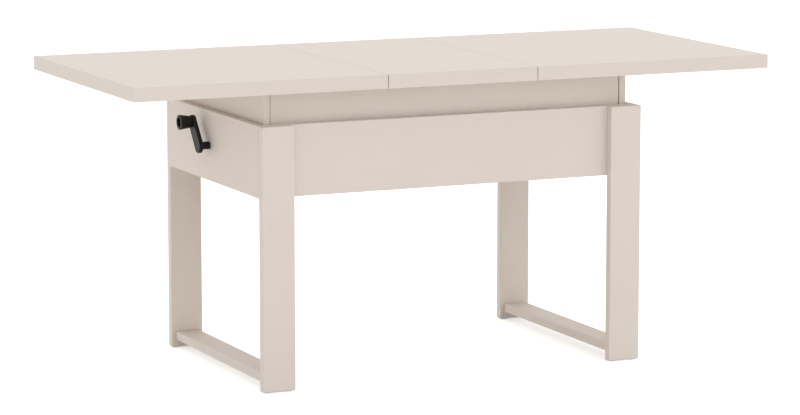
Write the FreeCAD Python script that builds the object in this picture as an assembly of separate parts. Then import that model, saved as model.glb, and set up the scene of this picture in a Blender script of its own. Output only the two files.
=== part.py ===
"""Extending table with a crank lift: two sliding top halves, a loose leaf and a scissor under the top.

Millimetres. X runs along the table, +Y to the back, +Z up; the origin is on the floor under the middle.
The table is drawn raised, with its leaf in place. The crank is at the -X end.
"""
import FreeCAD
import Part
import math
import os

from FreeCAD import Vector

ALONG_X = Vector(1, 0, 0)
ALONG_Y = Vector(0, 1, 0)
ALONG_Z = Vector(0, 0, 1)
SIDES = (-1, 1)

# Top
half_length = 601.0
top_depth = 680.0
top_thickness = 32.0
leaf_length = 370.0
seam_gap = 1.5
top_edge_radius = 1.0
end_overhang = 127.0
side_overhang = 40.0

# Base
base_height = 600.0
leg_width = 78.0
leg_thickness = 21.0
leg_edge_radius = 2.0
apron_thickness = 16.0
apron_height = 162.0
foot_rail_inset = 10.0
foot_rail_thickness = 21.0
foot_rail_bottom = 19.0
glide_radius = 8.0
glide_thickness = 2.0
glide_spacing = 50.0

# Lift box
lift_raised = 76.0
lift_lowest = 70.0
box_gap = 4.0
box_thickness = 16.0
panel_setback = 2.0
groove_width = 2.0
groove_depth = 4.0
box_height = 130.0
board_edge_radius = 0.5
slide_clearance = 0.3
pad_length = 40.0
pad_height = 16.0
pad_drop = 4.0
pad_offset_x = 300.0
pad_offset_y = 150.0

# Scissor lift
arm_width = 25.0
arm_thickness = 5.0
arm_gap = 1.0
pivot_inset = 193.0
slide_inset = 182.5
lower_axis_drop = 120.0
roller_radius = 10.0
roller_clearance = 1.1
roller_width = 10.0
roller_pin_radius = 5.0
pivot_radius = 6.0
pivot_tail = 3.0
centre_pin_radius = 5.0
centre_pin_head_radius = 8.0
centre_pin_head = 4.0
centre_pin_play = 1.1
running_clearance = 0.08
channel_depth = 16.0
channel_wall = 2.4
channel_inset = 33.0
lower_channel_inset = 33.0
upper_channel_inset = 108.0
channel_tail = 25.0
drive_tube_radius = 8.0

# Cross boards of the base and of the lift box
beam_width = 60.0
beam_height = 28.0
crank_beam_inset = 63.0
spindle_beam_inset = 268.0
pivot_beam_inset = 233.0
cross_rail_width = 60.0
cross_rail_thickness = 18.0
crank_cross_rail_inset = 128.0

# Runners under the top halves
runner_inset = 111.0
rail_width = 36.0
rail_height = 15.0
rail_wall = 2.5
rail_slot = 14.0
rail_drop = 3.0
rail_end_gap = 2.0
slider_seam_inset = 13.5
slider_end_gap = 28.0
slider_flange_width = 30.0
slider_flange = 5.0
slider_play = 0.5
slider_neck = 12.0
slider_plate_width = 60.0
slider_plate = 2.5
slider_screw_offset = 25.0
slider_screw_inset = 30.0
cleat_end_inset = 36.0
cleat_thickness = 16.0
cleat_height = 15.0
cleat_play = 1.0

# Crank and spindle
crank_y = 22.0
crank_drop = 80.0
crank_tilt = 38.0
crank_radius = 65.0
crank_stub_radius = 9.0
crank_stub_length = 20.0
crank_arm_thickness = 9.5
crank_hub_radius = 16.5
crank_tip_radius = 15.5
crank_edge_radius = 1.2
crank_socket_depth = 17.0
grip_length = 28.5
grip_root_radius = 13.5
grip_end_radius = 17.5
grip_recess_radius = 11.5
grip_recess_depth = 9.0
grip_edge_radius = 1.0
grip_pin_radius = 4.0
grip_pin_head_radius = 7.0
grip_pin_head = 3.0
bush_radius = 10.0
spindle_radius = 6.0
spindle_collar_radius = 10.0
spindle_collar = 5.0
spindle_tail = 3.0
collar_play = 0.2
bearing_length = 24.0
bearing_width = 40.0
bearing_cover = 14.0
nut_width = 30.0
nut_cover = 7.0
nut_prong = 6.5
nut_reach = 5.0
nut_bore_play = 0.3
nut_tube_play = 3.2
notch_play = 2.0

# Fastenings
fastener_clearance = 0.1
leg_screw_radius = 2.5
leg_screw_head_radius = 5.0
leg_screw_head = 3.0
leg_screw_bite = 14.0
leg_screw_spacing_x = 30.0
leg_screw_spacing_z = 90.0
wood_screw_radius = 2.0
wood_screw_head_radius = 4.0
wood_screw_head = 2.4
wood_screw_bite = 12.0
bracket_leg = 30.0
bracket_height = 24.0
bracket_thickness = 3.0
bracket_screw_offset = 19.0
dowel_radius = 4.0
dowel_spacing = 30.0
dowel_long_bite = 20.0
dowel_short_bite = 10.0
overrun = 1.0

# Places worked out from the sizes above
base_length = 2 * (half_length - end_overhang)
base_depth = top_depth - 2 * side_overhang
top_underside = base_height + lift_raised
apron_bottom = base_height - apron_height
apron_face_y = base_depth / 2 - leg_thickness
apron_inner_y = apron_face_y - apron_thickness
apron_inner_x = base_length / 2 - apron_thickness
box_x = apron_inner_x - box_gap
box_y = apron_inner_y - box_gap
box_inner_x = box_x - box_thickness
box_inner_y = box_y - panel_setback - box_thickness
box_top = top_underside - slide_clearance
box_bottom = box_top - box_height
channel_height = 2 * (roller_radius + roller_clearance + channel_wall)
lower_axis_z = base_height - lower_axis_drop
crank_z = base_height - crank_drop
beam_top = lower_axis_z - channel_height / 2
cross_rail_top = top_underside - rail_drop - rail_height
cross_rail_bottom = cross_rail_top - cross_rail_thickness
upper_axis_z = cross_rail_bottom - channel_height / 2
fixed_pivot_x = apron_inner_x - pivot_inset
sliding_x = slide_inset - apron_inner_x
channel_offset = box_inner_y - channel_inset - channel_depth
outer_arm_offset = channel_offset - arm_gap - arm_thickness
arm_offset = outer_arm_offset - arm_gap - arm_thickness
channel_end = fixed_pivot_x + channel_tail
lower_channel_start = lower_channel_inset - apron_inner_x
upper_channel_start = upper_channel_inset - apron_inner_x
crank_beam_x = crank_beam_inset - apron_inner_x
spindle_beam_x = spindle_beam_inset - apron_inner_x
pivot_beam_x = apron_inner_x - pivot_beam_inset
beam_places = (crank_beam_x, spindle_beam_x, pivot_beam_x)
cross_rail_places = (crank_cross_rail_inset - apron_inner_x, 0, pivot_beam_x)
runner_offset = box_inner_y - runner_inset
slider_inner_end = leaf_length / 2 + seam_gap + slider_seam_inset
slider_outer_end = box_inner_x - slider_end_gap
cleat_length = leaf_length - 2 * cleat_end_inset
channel_web_y = channel_offset + channel_depth - channel_wall
channel_middle_y = channel_offset + (channel_depth - channel_wall) / 2
crank_face_x = -base_length / 2
spindle_start_x = crank_face_x - slide_clearance - crank_socket_depth

os.makedirs("parts", exist_ok=True)


def save(name, shape):
    """Write one piece, or one group of alike pieces, under its node name."""
    shape.exportStep("parts/" + name + ".step")


def block(size, centre, bottom):
    """Box of the given size, centred on an X, Y place, standing on a height."""
    corner = Vector(centre[0] - size[0] / 2, centre[1] - size[1] / 2, bottom)
    return Part.makeBox(size[0], size[1], size[2], corner)


def board(size, centre, bottom, edge_radius):
    """Box with all its edges lightly rounded."""
    plain = block(size, centre, bottom)
    return plain.makeFillet(edge_radius, plain.Edges)


def rod(start, direction, radius, length):
    """Cylinder from a point along a direction."""
    return Part.makeCylinder(radius, length, start, direction)


def screw(seat, direction, radius, length, head_radius, head, play=0.0):
    """Screw whose head stands on its seat; with play it is the hole for that screw."""
    shank = rod(seat, direction, radius + play, length + play)
    cap = rod(seat, -direction, head_radius + play, head + play)
    return shank.fuse(cap).removeSplitter()


def leg_screw(seat, direction, play=0.0):
    """Screw that holds an apron to a leg, its head sunk in the apron."""
    length = apron_thickness - leg_screw_head + leg_screw_bite
    return screw(seat, direction, leg_screw_radius, length, leg_screw_head_radius, leg_screw_head, play)


def wood_screw(seat, direction, sheet, play=0.0):
    """Screw through a metal sheet into a board, its head on the sheet."""
    length = sheet + wood_screw_bite
    return screw(seat, direction, wood_screw_radius, length, wood_screw_head_radius, wood_screw_head, play)


def screw_hole(seat, direction, sheet):
    """Hole for a screw through a sheet and into its board, with no room cut for the head."""
    length = sheet + wood_screw_bite + fastener_clearance
    return rod(seat, direction, wood_screw_radius + fastener_clearance, length)


def link(start, end, start_radius, end_radius, normal, thickness):
    """Flat bar with two round ends and straight tangent sides."""
    along = (end - start).normalize()
    side = normal.cross(along)
    lean = math.asin((start_radius - end_radius) / (end - start).Length)
    corners = []
    for centre, radius in ((start, start_radius), (end, end_radius)):
        pair = [centre + along * (radius * math.sin(lean)) + side * (sign * radius * math.cos(lean))
                for sign in SIDES]
        corners.append(pair)
    outline = [corners[0][0], corners[0][1], corners[1][1], corners[1][0], corners[0][0]]
    bar = Part.Face(Part.makePolygon(outline)).extrude(normal * thickness)
    ends = [rod(start, normal, start_radius, thickness), rod(end, normal, end_radius, thickness)]
    return bar.multiFuse(ends).removeSplitter()


def channel(start, end, axis_z, side):
    """C-shaped guide along X that opens towards the middle of the table."""
    length = end - start
    middle_x = (start + end) / 2
    outer_y = side * (channel_offset + channel_depth / 2)
    outer = block((length, channel_depth, channel_height), (middle_x, outer_y), axis_z - channel_height / 2)
    inner_height = channel_height - 2 * channel_wall
    inner_y = outer_y - side * channel_wall
    inner_size = (length + 2 * overrun, channel_depth, inner_height)
    inner = block(inner_size, (middle_x, inner_y), axis_z - inner_height / 2)
    pivot_hole = rod(Vector(fixed_pivot_x, side * channel_offset, axis_z), ALONG_Y * side,
                     pivot_radius + fastener_clearance, channel_depth + overrun)
    return outer.cut(inner).cut(pivot_hole)


def legs():
    """Four upright boards with their wide faces to the front and back, and the screws into them."""
    screws = []
    names = {(-1, -1): "leg_front_left", (1, -1): "leg_front_right",
             (-1, 1): "leg_rear_left", (1, 1): "leg_rear_right"}
    glides = []
    overlap_middle = (base_length / 2 - leg_width + apron_inner_x) / 2
    for (side_x, side_y), name in names.items():
        centre = (side_x * (base_length - leg_width) / 2, side_y * (base_depth - leg_thickness) / 2)
        leg = board((leg_width, leg_thickness, base_height - glide_thickness), centre, glide_thickness,
                    leg_edge_radius)
        outward = ALONG_Y * side_y
        for step_x in SIDES:
            glides.append(rod(Vector(centre[0] + step_x * glide_spacing / 2, centre[1], 0), ALONG_Z,
                              glide_radius, glide_thickness))
            for step_z in SIDES:
                seat = Vector(side_x * overlap_middle + step_x * leg_screw_spacing_x / 2,
                              side_y * (apron_inner_y + leg_screw_head),
                              apron_bottom + apron_height / 2 + step_z * leg_screw_spacing_z / 2)
                screws.append(leg_screw(seat, outward))
                leg = leg.cut(leg_screw(seat, outward, fastener_clearance))
        for hole in foot_rail_dowels(side_x, side_y, fastener_clearance):
            leg = leg.cut(hole)
        save(name, leg)
    save("leg_glides", Part.makeCompound(glides))
    save("leg_screws", Part.makeCompound(screws))


def foot_rail_dowels(side_x, side_y, play=0.0):
    """Two dowels between a foot rail's end and a leg; with play they are their holes."""
    pins = []
    for step in SIDES:
        start = Vector(side_x * (base_length - leg_width) / 2 + step * dowel_spacing / 2,
                       side_y * (apron_face_y - dowel_long_bite - play),
                       foot_rail_bottom + foot_rail_thickness / 2)
        pins.append(rod(start, ALONG_Y * side_y, dowel_radius + play,
                        dowel_long_bite + dowel_short_bite + 2 * play))
    return pins


def beam_dowels(place, side_y, play=0.0):
    """Two dowels between a beam's end and an apron; with play they are their holes."""
    pins = []
    for step in SIDES:
        start = Vector(place + step * dowel_spacing / 2, side_y * (apron_inner_y - dowel_long_bite - play),
                       beam_top - beam_height / 2)
        pins.append(rod(start, ALONG_Y * side_y, dowel_radius + play,
                        dowel_long_bite + dowel_short_bite + 2 * play))
    return pins


def bracket_screw_seats(side_x, side_y):
    """Seats and directions of the two screws of one corner bracket."""
    height = apron_bottom + bracket_height / 2
    return [(Vector(side_x * (apron_inner_x - bracket_thickness),
                    side_y * (apron_inner_y - bracket_screw_offset), height), ALONG_X * side_x),
            (Vector(side_x * (apron_inner_x - bracket_screw_offset),
                    side_y * (apron_inner_y - bracket_thickness), height), ALONG_Y * side_y)]


def aprons():
    """Four boards between the legs, with corner brackets inside and pads that guide the lift box."""
    front_size = (2 * apron_inner_x, apron_thickness, apron_height)
    for side_y, name in ((-1, "front_apron"), (1, "rear_apron")):
        apron = board(front_size, (0, side_y * (apron_inner_y + apron_thickness / 2)), apron_bottom,
                      board_edge_radius)
        overlap_middle = (base_length / 2 - leg_width + apron_inner_x) / 2
        for side_x in SIDES:
            for step_x in SIDES:
                for step_z in SIDES:
                    seat = Vector(side_x * overlap_middle + step_x * leg_screw_spacing_x / 2,
                                  side_y * (apron_inner_y + leg_screw_head),
                                  apron_bottom + apron_height / 2 + step_z * leg_screw_spacing_z / 2)
                    apron = apron.cut(leg_screw(seat, ALONG_Y * side_y, fastener_clearance))
            seat, direction = bracket_screw_seats(side_x, side_y)[1]
            apron = apron.cut(screw_hole(seat, direction, bracket_thickness))
        for place in beam_places:
            for hole in beam_dowels(place, side_y, fastener_clearance):
                apron = apron.cut(hole)
        save(name, apron)
    end_size = (apron_thickness, 2 * apron_face_y, apron_height)
    for side_x, name in ((-1, "crank_end_apron"), (1, "plain_end_apron")):
        apron = board(end_size, (side_x * (apron_inner_x + apron_thickness / 2), 0), apron_bottom,
                      board_edge_radius)
        for side_y in SIDES:
            seat, direction = bracket_screw_seats(side_x, side_y)[0]
            apron = apron.cut(screw_hole(seat, direction, bracket_thickness))
        if side_x < 0:
            hole_start = Vector(crank_face_x - overrun, crank_y, crank_z)
            apron = apron.cut(rod(hole_start, ALONG_X, bush_radius + fastener_clearance,
                                  apron_thickness + 2 * overrun))
        save(name, apron)


def corner_brackets():
    """Steel angles in the four lower corners, below the lift box, and the screws of the base's metal."""
    brackets = []
    screws = []
    for side_x in SIDES:
        for side_y in SIDES:
            centre = (side_x * (apron_inner_x - bracket_leg / 2), side_y * (apron_inner_y - bracket_leg / 2))
            outer = block((bracket_leg, bracket_leg, bracket_height), centre, apron_bottom)
            inner_centre = (centre[0] - side_x * bracket_thickness, centre[1] - side_y * bracket_thickness)
            bracket = outer.cut(block((bracket_leg, bracket_leg, bracket_height), inner_centre, apron_bottom))
            for seat, direction in bracket_screw_seats(side_x, side_y):
                bracket = bracket.cut(screw_hole(seat, direction, bracket_thickness))
                screws.append(wood_screw(seat, direction, bracket_thickness))
            brackets.append(bracket)
    save("corner_brackets", Part.makeCompound(brackets))
    for seat in lower_channel_seats():
        screws.append(wood_screw(seat, -ALONG_Z, channel_wall))
    save("base_screws", Part.makeCompound(screws))


def lower_channel_seats():
    """Seats of the screws that hold the lower guides to the beams."""
    height = lower_axis_z - channel_height / 2 + channel_wall
    return [Vector(place, side * channel_middle_y, height) for place in beam_places for side in SIDES]


def guide_pads():
    """Slippery pads on the aprons' inner faces that keep the lift box central."""
    end_pad = box_gap - slide_clearance
    long_pad = end_pad + panel_setback
    bottom = base_height - pad_drop - pad_height
    pads = []
    for side in SIDES:
        for step in SIDES:
            long_centre = (step * pad_offset_x, side * (apron_inner_y - long_pad / 2))
            pads.append(block((pad_length, long_pad, pad_height), long_centre, bottom))
            end_centre = (side * (apron_inner_x - end_pad / 2), step * pad_offset_y)
            pads.append(block((end_pad, pad_length, pad_height), end_centre, bottom))
    save("guide_pads", Part.makeCompound(pads))


def foot_rails():
    """Low boards that tie each front leg to the rear leg behind it."""
    dowels = []
    for side_x, name in ((-1, "left_foot_rail"), (1, "right_foot_rail")):
        size = (leg_width - 2 * foot_rail_inset, 2 * apron_face_y, foot_rail_thickness)
        rail = board(size, (side_x * (base_length - leg_width) / 2, 0), foot_rail_bottom, leg_edge_radius)
        for side_y in SIDES:
            dowels += foot_rail_dowels(side_x, side_y)
            for hole in foot_rail_dowels(side_x, side_y, fastener_clearance):
                rail = rail.cut(hole)
        save(name, rail)
    for place in beam_places:
        for side_y in SIDES:
            dowels += beam_dowels(place, side_y)
    save("base_dowels", Part.makeCompound(dowels))


def beams():
    """Flat boards across the base that carry the lift."""
    names = ("crank_end_beam", "spindle_beam", "pivot_beam")
    for name, place in zip(names, beam_places):
        beam = board((beam_width, 2 * apron_inner_y, beam_height), (place, 0), beam_top - beam_height,
                     board_edge_radius)
        for side_y in SIDES:
            for hole in beam_dowels(place, side_y, fastener_clearance):
                beam = beam.cut(hole)
        for seat in lower_channel_seats():
            beam = beam.cut(screw_hole(seat, -ALONG_Z, channel_wall))
        save(name, beam)


def lower_guides():
    """Lower channels and the fixed shaft of the outer arms."""
    for side, name in ((-1, "front_lower_channel"), (1, "rear_lower_channel")):
        guide = channel(lower_channel_start, channel_end, lower_axis_z, side)
        for seat in lower_channel_seats():
            guide = guide.cut(screw_hole(seat, -ALONG_Z, channel_wall))
        save(name, guide)
    save("lower_pivot_shaft", pivot_shaft(lower_axis_z))


def pivot_shaft(axis_z):
    """Shaft across the table through both channels."""
    reach = channel_offset + channel_depth + pivot_tail
    return rod(Vector(fixed_pivot_x, -reach, axis_z), ALONG_Y, pivot_radius, 2 * reach)


def upper_channel_seats():
    """Seats of the screws that hold the upper guides under the cross rails."""
    height = upper_axis_z + channel_height / 2 - channel_wall
    return [Vector(place, side * channel_middle_y, height) for place in cross_rail_places for side in SIDES]


def runner_rail_seats():
    """Seats of the screws that hold the runner rails on the cross rails."""
    height = cross_rail_top + rail_wall
    return [Vector(place, side * runner_offset, height) for place in cross_rail_places for side in SIDES]


def lift_box():
    """Four panels that rise out of the base, with cross rails, guides and runner rails inside."""
    long_size = (2 * box_inner_x, box_thickness, box_height)
    for side, name in ((-1, "front_lift_panel"), (1, "rear_lift_panel")):
        centre = (0, side * (box_inner_y + box_thickness / 2))
        panel = board(long_size, centre, box_bottom, board_edge_radius)
        for end in SIDES:
            panel = panel.cut(joint_groove(end, side))
        save(name, panel)
    end_size = (box_thickness, 2 * box_y, box_height)
    for side, name in ((-1, "crank_lift_panel"), (1, "plain_lift_panel")):
        panel = board(end_size, (side * (box_x - box_thickness / 2), 0), box_bottom, board_edge_radius)
        if side < 0:
            panel = panel.cut(spindle_notch())
        save(name, panel)
    screws = []
    names = ("crank_end_cross_rail", "middle_cross_rail", "pivot_cross_rail")
    for name, place in zip(names, cross_rail_places):
        rail = board((cross_rail_width, 2 * box_inner_y, cross_rail_thickness), (place, 0), cross_rail_bottom,
                     board_edge_radius)
        for seat in upper_channel_seats():
            rail = rail.cut(screw_hole(seat, ALONG_Z, channel_wall))
        for seat in runner_rail_seats():
            rail = rail.cut(screw_hole(seat, -ALONG_Z, rail_wall))
        save(name, rail)
    for side, name in ((-1, "front_upper_channel"), (1, "rear_upper_channel")):
        guide = channel(upper_channel_start, channel_end, upper_axis_z, side)
        for seat in upper_channel_seats():
            guide = guide.cut(screw_hole(seat, ALONG_Z, channel_wall))
        save(name, guide)
    save("upper_pivot_shaft", pivot_shaft(upper_axis_z))
    for side, name in ((-1, "front_runner_rail"), (1, "rear_runner_rail")):
        save(name, runner_rail(side))
    screws += [wood_screw(seat, ALONG_Z, channel_wall) for seat in upper_channel_seats()]
    screws += [wood_screw(seat, -ALONG_Z, rail_wall) for seat in runner_rail_seats()]
    save("lift_screws", Part.makeCompound(screws))


def joint_groove(end, side):
    """Narrow groove down one end of a long panel's face, where it meets the end panel."""
    size = (groove_width + overrun, groove_depth + overrun, box_height + 2 * overrun)
    centre = (end * (box_inner_x + (overrun - groove_width) / 2),
              side * (box_inner_y + box_thickness + (overrun - groove_depth) / 2))
    return block(size, centre, box_bottom - overrun)


def spindle_notch():
    """Slot, open at the bottom of the box's end panel, that the spindle stands in when the top is down."""
    half_width = spindle_radius + notch_play
    notch_top = crank_z + lift_lowest
    notch_bottom = box_bottom - overrun
    centre_x = -box_x + box_thickness / 2
    slot = block((box_thickness + 2 * overrun, 2 * half_width, notch_top - notch_bottom),
                 (centre_x, crank_y), notch_bottom)
    round_top = rod(Vector(-box_x - overrun, crank_y, notch_top), ALONG_X, half_width,
                    box_thickness + 2 * overrun)
    return slot.fuse(round_top)


def runner_rail(side):
    """Lipped rail along the table that keeps the sliders of both halves."""
    length = 2 * (box_inner_x - rail_end_gap)
    centre = (0, side * runner_offset)
    outer = block((length, rail_width, rail_height), centre, cross_rail_top)
    inner_size = (length + 2 * overrun, rail_width - 2 * rail_wall, rail_height - 2 * rail_wall)
    slot_size = (length + 2 * overrun, rail_slot, rail_wall + 2 * overrun)
    rail = outer.cut(block(inner_size, centre, cross_rail_top + rail_wall))
    rail = rail.cut(block(slot_size, centre, cross_rail_top + rail_height - rail_wall - overrun))
    for seat in runner_rail_seats():
        rail = rail.cut(screw_hole(seat, -ALONG_Z, rail_wall))
    return rail


def scissor_arm(start, end, side, inner_face):
    """One arm of the scissor on one side of the table, without its holes."""
    normal = ALONG_Y * side
    offset = ALONG_Y * (side * inner_face)
    return link(start + offset, end + offset, arm_width / 2, arm_width / 2, normal, arm_thickness)


def arm_hole(centre, side, inner_face, radius):
    """Hole across one arm."""
    start = centre + ALONG_Y * (side * (inner_face - overrun))
    return rod(start, ALONG_Y * side, radius, arm_thickness + 2 * overrun)


def scissor():
    """Crossed arms: the outer pair turns on the base, the inner pair on the lift box."""
    lower_fixed = Vector(fixed_pivot_x, 0, lower_axis_z)
    upper_fixed = Vector(fixed_pivot_x, 0, upper_axis_z)
    lower_sliding = Vector(sliding_x, 0, lower_axis_z)
    upper_sliding = Vector(sliding_x, 0, upper_axis_z)
    middle = (lower_fixed + upper_sliding) * 0.5
    shaft_hole = pivot_radius + running_clearance
    pin_hole = roller_pin_radius + fastener_clearance
    tube_hole = drive_tube_radius + fastener_clearance
    centre_pins = []
    outer_rollers = []
    inner_rollers = []
    for side, word in ((-1, "front"), (1, "rear")):
        outer = scissor_arm(lower_fixed, upper_sliding, side, outer_arm_offset)
        outer = outer.cut(arm_hole(lower_fixed, side, outer_arm_offset, shaft_hole))
        outer = outer.cut(arm_hole(upper_sliding, side, outer_arm_offset, pin_hole))
        outer = outer.cut(arm_hole(middle, side, outer_arm_offset, centre_pin_radius + fastener_clearance))
        save(word + "_outer_arm", outer)
        inner = scissor_arm(upper_fixed, lower_sliding, side, arm_offset)
        inner = inner.cut(arm_hole(upper_fixed, side, arm_offset, shaft_hole))
        inner = inner.cut(arm_hole(lower_sliding, side, arm_offset, tube_hole))
        inner = inner.cut(arm_hole(middle, side, arm_offset, centre_pin_radius + centre_pin_play))
        save(word + "_inner_arm", inner)
        centre_pins.append(centre_pin(middle, side))
        outer_rollers.append(roller(upper_sliding, side, outer_arm_offset))
        inner_rollers.append(roller(lower_sliding, side, None))
    save("centre_pivot_pins", Part.makeCompound(centre_pins))
    save("outer_arm_rollers", Part.makeCompound(outer_rollers))
    save("inner_arm_rollers", Part.makeCompound(inner_rollers))
    save("drive_tube", drive_tube(lower_sliding))


def centre_pin(middle, side):
    """Pin fixed in the outer arm that the inner arm turns on, with a head inside."""
    normal = ALONG_Y * side
    head_face = arm_offset - arm_gap
    length = outer_arm_offset + arm_thickness - head_face
    pin = rod(middle + normal * head_face, normal, centre_pin_radius, length)
    head = rod(middle + normal * head_face, -normal, centre_pin_head_radius, centre_pin_head)
    return pin.fuse(head).removeSplitter()


def roller(centre, side, arm_face):
    """Roller in a channel; the outer arm's roller has its own pin, the inner arm's sits on the drive tube."""
    normal = ALONG_Y * side
    inner_face = channel_middle_y - roller_width / 2
    wheel = rod(centre + normal * inner_face, normal, roller_radius, roller_width)
    if arm_face is None:
        return wheel.cut(rod(centre, normal, drive_tube_radius + fastener_clearance, channel_web_y))
    pin = rod(centre + normal * arm_face, normal, roller_pin_radius, inner_face - arm_face)
    return wheel.fuse(pin).removeSplitter()


def drive_tube(centre):
    """Tube across the inner arms' lower ends that the nut pushes."""
    reach = channel_middle_y + roller_width / 2
    return rod(centre - ALONG_Y * reach, ALONG_Y, drive_tube_radius, 2 * reach)


def bearing(place, bore_radius):
    """Block on a beam with a bore for the spindle."""
    top = crank_z + bearing_cover
    housing = block((bearing_length, bearing_width, top - beam_top), (place, crank_y), beam_top)
    bore_start = Vector(place - bearing_length / 2 - overrun, crank_y, crank_z)
    return housing.cut(rod(bore_start, ALONG_X, bore_radius, bearing_length + 2 * overrun))


def drive():
    """Spindle with its bearings, the nut on it and the bush in the end apron."""
    bore_radius = spindle_radius + running_clearance
    save("thrust_bearing", bearing(crank_beam_x, bore_radius))
    save("end_bearing", bearing(spindle_beam_x, bore_radius))
    bush_start = Vector(crank_face_x, crank_y, crank_z)
    bush = rod(bush_start, ALONG_X, bush_radius, apron_thickness)
    save("crank_bush", bush.cut(rod(bush_start, ALONG_X, bore_radius, apron_thickness)))
    spindle_end = spindle_beam_x + bearing_length / 2 + spindle_tail
    spindle = rod(Vector(spindle_start_x, crank_y, crank_z), ALONG_X, spindle_radius,
                  spindle_end - spindle_start_x)
    collars = []
    for side in SIDES:
        face_x = crank_beam_x + side * (bearing_length / 2 + collar_play)
        collars.append(rod(Vector(face_x, crank_y, crank_z), ALONG_X * side, spindle_collar_radius,
                           spindle_collar))
    save("spindle", spindle.multiFuse(collars).removeSplitter())
    save("lift_nut", lift_nut())


def lift_nut():
    """Nut on the spindle with a fork that straddles the drive tube."""
    slot_width = 2 * (drive_tube_radius + nut_tube_play)
    length = slot_width + 2 * nut_prong
    bottom = lower_axis_z - nut_reach
    top = crank_z + spindle_radius + nut_cover
    body = block((length, nut_width, top - bottom), (sliding_x, crank_y), bottom)
    slot_top = lower_axis_z + drive_tube_radius + nut_tube_play
    slot = block((slot_width, nut_width + 2 * overrun, slot_top - bottom + overrun), (sliding_x, crank_y),
                 bottom - overrun)
    bore_start = Vector(sliding_x - length / 2 - overrun, crank_y, crank_z)
    bore = rod(bore_start, ALONG_X, spindle_radius + nut_bore_play, length + 2 * overrun)
    return body.cut(slot).cut(bore)


def crank():
    """Moulded crank on the spindle's end, with a grip that spins on its own pin."""
    tilt = math.radians(crank_tilt)
    hub = Vector(crank_face_x - slide_clearance, crank_y, crank_z)
    tip = hub + Vector(0, crank_radius * math.sin(tilt), crank_radius * math.cos(tilt))
    outward = -ALONG_X
    arm_face = outward * crank_stub_length
    arm = link(hub + arm_face, tip + arm_face, crank_hub_radius, crank_tip_radius, outward,
               crank_arm_thickness)
    arm = arm.makeFillet(crank_edge_radius, arm.Edges)
    stub = rod(hub, outward, crank_stub_radius, crank_stub_length + crank_edge_radius)
    socket = rod(hub, outward, spindle_radius + fastener_clearance, crank_socket_depth + fastener_clearance)
    grip_root = tip + outward * (crank_stub_length + crank_arm_thickness + slide_clearance)
    pin_start = tip + outward * crank_stub_length
    pin_reach = crank_arm_thickness + slide_clearance + grip_length - grip_recess_depth + slide_clearance
    pin_hole = rod(pin_start, outward, grip_pin_radius + fastener_clearance, crank_arm_thickness)
    save("crank_arm", arm.fuse(stub).removeSplitter().cut(socket).cut(pin_hole))
    pin = rod(pin_start, outward, grip_pin_radius, pin_reach)
    pin_head = rod(pin_start + outward * pin_reach, outward, grip_pin_head_radius, grip_pin_head)
    save("grip_pin", pin.fuse(pin_head).removeSplitter())
    grip = Part.makeCone(grip_root_radius, grip_end_radius, grip_length, grip_root, outward)
    rims = [edge for edge in grip.Edges if edge.Curve.TypeId == "Part::GeomCircle"]
    grip = grip.makeFillet(grip_edge_radius, rims)
    bore = rod(grip_root, outward, grip_pin_radius + fastener_clearance, grip_length)
    recess_floor = grip_root + outward * (grip_length - grip_recess_depth)
    recess = rod(recess_floor, outward, grip_recess_radius, grip_recess_depth + overrun)
    save("crank_grip", grip.cut(bore).cut(recess))


def slider_screw_seats(side_x):
    """Seats of the screws that hold a half's sliders to the half."""
    places = (slider_inner_end + slider_screw_inset, slider_outer_end - slider_screw_inset)
    height = top_underside - slider_plate
    return [Vector(side_x * place, side_y * runner_offset + step * slider_screw_offset, height)
            for place in places for side_y in SIDES for step in SIDES]


def top_halves():
    """Two sliding halves, each with a pair of sliders kept in the runner rails."""
    length = slider_outer_end - slider_inner_end
    flange_top = top_underside - rail_drop - rail_wall - slider_play
    for side_x, word in ((-1, "left"), (1, "right")):
        half_centre = (side_x * (leaf_length / 2 + seam_gap + half_length / 2), 0)
        half = board((half_length, top_depth, top_thickness), half_centre, top_underside, top_edge_radius)
        sliders = []
        for side_y in SIDES:
            centre = (side_x * (slider_inner_end + slider_outer_end) / 2, side_y * runner_offset)
            plate = block((length, slider_plate_width, slider_plate), centre, top_underside - slider_plate)
            neck = block((length, slider_neck, top_underside - slider_plate - flange_top), centre, flange_top)
            flange = block((length, slider_flange_width, slider_flange), centre, flange_top - slider_flange)
            slider = plate.multiFuse([neck, flange]).removeSplitter()
            for seat in slider_screw_seats(side_x):
                slider = slider.cut(screw_hole(seat, ALONG_Z, slider_plate))
            sliders.append(slider)
        for seat in slider_screw_seats(side_x):
            half = half.cut(screw_hole(seat, ALONG_Z, slider_plate))
        screws = [wood_screw(seat, ALONG_Z, slider_plate) for seat in slider_screw_seats(side_x)]
        save(word + "_top", half)
        save(word + "_sliders", Part.makeCompound(sliders))
        save(word + "_top_screws", Part.makeCompound(screws))


def leaf():
    """Loose middle board with two cleats that drop inside the lift box."""
    save("extension_leaf", board((leaf_length, top_depth, top_thickness), (0, 0), top_underside,
                                 top_edge_radius))
    cleats = []
    for side in SIDES:
        centre = (0, side * (box_inner_y - cleat_play - cleat_thickness / 2))
        cleats.append(block((cleat_length, cleat_thickness, cleat_height), centre,
                            top_underside - cleat_height))
    save("leaf_cleats", Part.makeCompound(cleats))


legs()
aprons()
corner_brackets()
guide_pads()
foot_rails()
beams()
lower_guides()
lift_box()
scissor()
drive()
crank()
top_halves()
leaf()
print("sliding end x", sliding_x, "upper axis z", upper_axis_z)
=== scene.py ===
"""Looks of the extending table with a crank lift: finishes, modelled fittings and the stage.

Every length is in metres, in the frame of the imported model: X along the table, +Y to the back, +Z up.
"""
import functools
import math

import bmesh
import bpy
from mathutils import Matrix, Vector


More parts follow.
